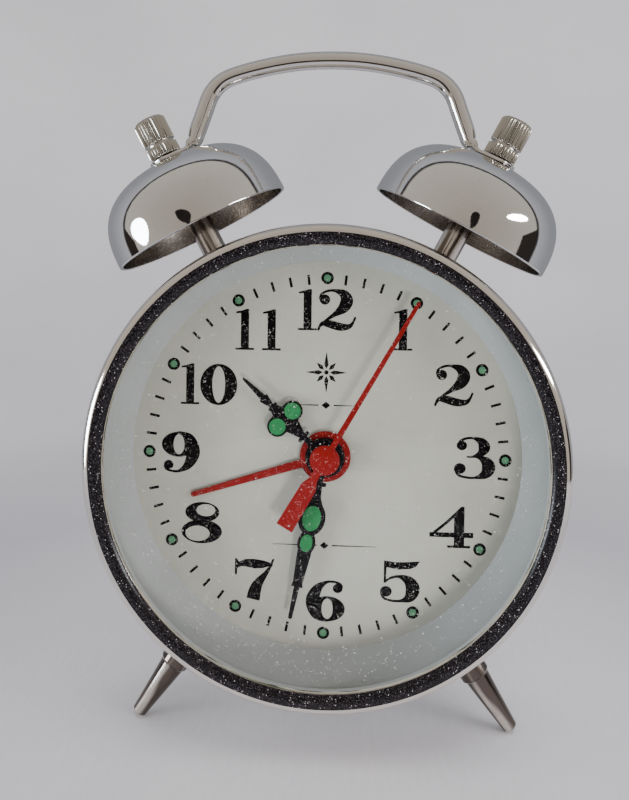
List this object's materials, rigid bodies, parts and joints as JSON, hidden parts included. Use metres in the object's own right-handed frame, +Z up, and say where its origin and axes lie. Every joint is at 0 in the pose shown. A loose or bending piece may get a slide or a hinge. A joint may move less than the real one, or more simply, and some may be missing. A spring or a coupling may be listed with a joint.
{
  "type": "twin-bell alarm clock",
  "caption": "Twin-bell mechanical alarm clock: round drum case on short feet, domed glass, numeral dial with hands, flared bells on posts, carrying handle, wind-up movement and rear keys.",
  "frame": {"origin": "centre of the footprint, on the surface the clock stands on", "axes": "+Z up, -Y the way the dial faces, +X to the right of someone reading the dial"},
  "size_m": [0.1158, 0.0604, 0.1725],
  "materials": {
    "chrome_plate": "polished",
    "clear_glass": "clear, polished",
    "dial_enamel": "satin enamel",
    "flange_enamel": "satin enamel",
    "cover_steel": "satin",
    "movement_brass": "satin",
    "movement_steel": "satin",
    "blued_steel": "tempered",
    "black_enamel": "gloss enamel",
    "red_enamel": "satin enamel",
    "knob_nickel": "polished"
  },
  "bodies": {
    "case": {"case_drum": "chrome_plate", "bezel_ring": "chrome_plate", "crystal": "clear_glass", "dial_surround": "flange_enamel", "dial_plate": "dial_enamel", "rear_cover": "cover_steel", "bell_left": "chrome_plate", "bell_right": "chrome_plate", "bell_post_left": "chrome_plate", "bell_post_right": "chrome_plate", "bell_nut_left": "chrome_plate", "bell_nut_right": "chrome_plate", "post_lock_nut_left": "movement_steel", "post_lock_nut_right": "movement_steel", "handle": "chrome_plate", "foot_left": "chrome_plate", "foot_right": "chrome_plate", "rear_foot": "chrome_plate", "movement_front_plate": "movement_brass", "movement_back_plate": "movement_brass", "pillar_1": "movement_brass", "pillar_2": "movement_brass", "pillar_3": "movement_brass", "pillar_4": "movement_brass", "cover_screw_1": "movement_steel", "cover_screw_2": "movement_steel", "cover_screw_3": "movement_steel", "time_mainspring": "blued_steel", "alarm_mainspring": "blued_steel"},
    "minute_arbor": {"cannon_pinion": "movement_brass", "minute_hand": "black_enamel"},
    "hour_pipe": {"hour_wheel": "movement_brass", "hour_hand": "black_enamel"},
    "minute_wheel_arbor": {"minute_wheel": "movement_brass"},
    "time_setter": {"time_set_knob": "knob_nickel"},
    "seconds_arbor": {"seconds_wheel": "movement_brass", "second_hand": "red_enamel"},
    "third_arbor": {"third_wheel": "movement_brass"},
    "centre_arbor": {"centre_wheel": "movement_brass"},
    "time_great_wheel_arbor": {"time_great_wheel": "movement_brass"},
    "escape_arbor": {"escape_wheel": "movement_brass"},
    "alarm_pipe": {"alarm_wheel": "movement_brass", "alarm_hand": "red_enamel"},
    "alarm_setter": {"alarm_set_knob": "knob_nickel"},
    "alarm_great_wheel_arbor": {"alarm_great_wheel": "movement_brass"},
    "alarm_escape_arbor": {"alarm_escape_wheel": "movement_brass"},
    "pallets": {"pallet_lever": "movement_brass"},
    "balance": {"balance_wheel": "movement_brass", "hairspring": "blued_steel"},
    "hammer": {"hammer_arm": "movement_steel"},
    "time_winder": {"time_key": "knob_nickel", "time_winding_arbor": "movement_steel"},
    "alarm_winder": {"alarm_key": "knob_nickel", "alarm_winding_arbor": "movement_steel"},
    "alarm_stop": {"stop_button": "knob_nickel"},
    "regulator": {"regulator_lever": "movement_steel"}
  },
  "joints": [
    {"name": "minute_turn", "type": "hinge", "parent": "case", "child": "minute_arbor", "pos_m": [0, -0.01, 0.0694], "axis": [0, 1, 0], "continuous": true},
    {"name": "hour_turn", "type": "hinge", "parent": "case", "child": "hour_pipe", "pos_m": [0, -0.01, 0.0694], "axis": [0, 1, 0], "continuous": true},
    {"name": "minute_wheel_turn", "type": "hinge", "parent": "case", "child": "minute_wheel_arbor", "pos_m": [-0.00866, -0.01, 0.0744], "axis": [0, 1, 0], "continuous": true},
    {"name": "time_set_turn", "type": "hinge", "parent": "case", "child": "time_setter", "pos_m": [-0.01366, 0.006, 0.08306], "axis": [0, 1, 0], "continuous": true},
    {"name": "seconds_turn", "type": "hinge", "parent": "case", "child": "seconds_arbor", "pos_m": [0, -0.01, 0.0694], "axis": [0, 1, 0], "continuous": true},
    {"name": "third_turn", "type": "hinge", "parent": "case", "child": "third_arbor", "pos_m": [0.01359, 0, 0.07574], "axis": [0, 1, 0], "continuous": true},
    {"name": "centre_turn", "type": "hinge", "parent": "case", "child": "centre_arbor", "pos_m": [0, -0.01, 0.0694], "axis": [0, 1, 0], "continuous": true},
    {"name": "time_great_turn", "type": "hinge", "parent": "case", "child": "time_great_wheel_arbor", "pos_m": [-0.021, 0, 0.0544], "axis": [0, 1, 0], "continuous": true},
    {"name": "escape_turn", "type": "hinge", "parent": "case", "child": "escape_arbor", "pos_m": [0.00977, 0, 0.05776], "axis": [0, 1, 0], "continuous": true},
    {"name": "alarm_hand_turn", "type": "hinge", "parent": "case", "child": "alarm_pipe", "pos_m": [0, -0.01, 0.0694], "axis": [0, 1, 0], "continuous": true},
    {"name": "alarm_set_turn", "type": "hinge", "parent": "case", "child": "alarm_setter", "pos_m": [0.00157, 0.005, 0.08733], "axis": [0, 1, 0], "continuous": true},
    {"name": "alarm_great_turn", "type": "hinge", "parent": "case", "child": "alarm_great_wheel_arbor", "pos_m": [0.025, 0, 0.0494], "axis": [0, 1, 0], "continuous": true},
    {"name": "alarm_escape_turn", "type": "hinge", "parent": "case", "child": "alarm_escape_arbor", "pos_m": [0.02813, 0, 0.06713], "axis": [0, 1, 0], "continuous": true},
    {"name": "pallet_swing", "type": "hinge", "parent": "case", "child": "pallets", "pos_m": [0.0065, 0, 0.049], "axis": [0, 1, 0], "range_deg": [-4.5, 4.5]},
    {"name": "balance_swing", "type": "hinge", "parent": "case", "child": "balance", "pos_m": [0.003, 0, 0.0394], "axis": [0, 1, 0], "range_deg": [-135, 135], "stiffness_Nm_per_rad": 0.00004},
    {"name": "hammer_swing", "type": "hinge", "parent": "case", "child": "hammer", "pos_m": [0.031, 0, 0.0814], "axis": [0, 1, 0], "range_deg": [-10, 2]},
    {"name": "time_key_wind", "type": "hinge", "parent": "case", "child": "time_winder", "pos_m": [-0.021, 0, 0.0544], "axis": [0, 1, 0], "range_deg": [0, 1530]},
    {"name": "alarm_key_wind", "type": "hinge", "parent": "case", "child": "alarm_winder", "pos_m": [0.025, 0, 0.0494], "axis": [0, 1, 0], "range_deg": [0, 1530]},
    {"name": "stop_push", "type": "slide", "parent": "case", "child": "alarm_stop", "axis": [0, -1, 0], "range_m": [0, 0.004]},
    {"name": "regulator_swing", "type": "hinge", "parent": "case", "child": "regulator", "pos_m": [0.003, 0, 0.0394], "axis": [0, 1, 0], "range_deg": [-14, 14]}
  ],
  "couplings": [
    {"joint": "hour_turn", "follows": "minute_turn", "ratio": 0.083333},
    {"joint": "minute_wheel_turn", "follows": "minute_turn", "ratio": -0.33333},
    {"joint": "time_set_turn", "follows": "minute_turn", "ratio": 1},
    {"joint": "third_turn", "follows": "seconds_turn", "ratio": -0.13333},
    {"joint": "centre_turn", "follows": "seconds_turn", "ratio": 0.016667},
    {"joint": "time_great_turn", "follows": "seconds_turn", "ratio": -0.0027778},
    {"joint": "escape_turn", "follows": "seconds_turn", "ratio": -6},
    {"joint": "alarm_set_turn", "follows": "alarm_hand_turn", "ratio": -4},
    {"joint": "alarm_escape_turn", "follows": "alarm_great_turn", "ratio": -5}
  ]
}
